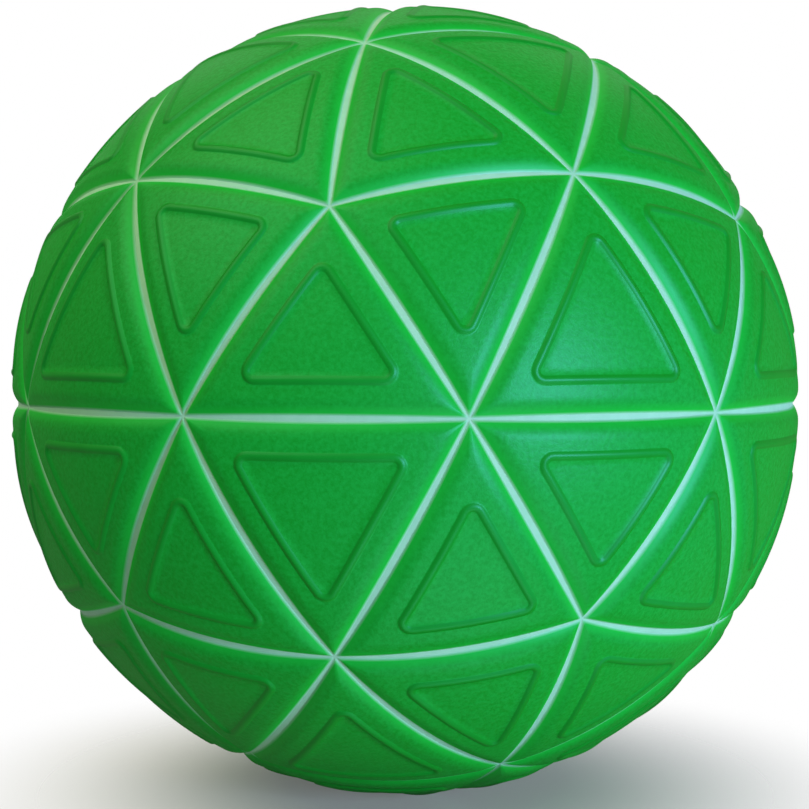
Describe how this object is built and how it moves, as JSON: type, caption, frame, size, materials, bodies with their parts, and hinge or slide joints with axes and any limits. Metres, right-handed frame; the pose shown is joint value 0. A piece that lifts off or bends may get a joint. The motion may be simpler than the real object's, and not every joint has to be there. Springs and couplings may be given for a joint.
{
  "type": "handball",
  "caption": "Moulded rubber beach handball with a net of triangular panels, white channels between them, a raised bead on each panel and a needle valve.",
  "frame": {"origin": "centre of the ball", "axes": "+Z out through the valve, -Y below the first five-way junction of the upper ring, which is the side that the picture shows"},
  "size_m": [0.1612, 0.162, 0.1612],
  "materials": {
    "green_rubber": "satin",
    "white_rubber": "satin",
    "nylon_thread": "matte",
    "black_butyl": "matte",
    "valve_rubber": "satin"
  },
  "bodies": {
    "root": {"bladder": "black_butyl", "carcass": "white_rubber", "lower_1_cap": "green_rubber", "lower_2_cap": "green_rubber", "lower_3_cap": "green_rubber", "lower_4_cap": "green_rubber", "lower_5_cap": "green_rubber", "lower_belt_panel_1": "green_rubber", "lower_belt_panel_2": "green_rubber", "lower_belt_panel_3": "green_rubber", "lower_belt_panel_4": "green_rubber", "lower_belt_panel_5": "green_rubber", "north_cap": "green_rubber", "north_panel_1": "green_rubber", "north_panel_2": "green_rubber", "north_panel_3": "green_rubber", "north_panel_4": "green_rubber", "north_panel_5": "green_rubber", "south_cap": "green_rubber", "south_panel_1": "green_rubber", "south_panel_2": "green_rubber", "south_panel_3": "green_rubber", "south_panel_4": "green_rubber", "south_panel_5": "green_rubber", "thread_winding": "nylon_thread", "upper_1_cap": "green_rubber", "upper_2_cap": "green_rubber", "upper_3_cap": "green_rubber", "upper_4_cap": "green_rubber", "upper_5_cap": "green_rubber", "upper_belt_panel_1": "green_rubber", "upper_belt_panel_2": "green_rubber", "upper_belt_panel_3": "green_rubber", "upper_belt_panel_4": "green_rubber", "upper_belt_panel_5": "green_rubber", "valve_body": "valve_rubber", "valve_core": "valve_rubber"}
  },
  "joints": []
}
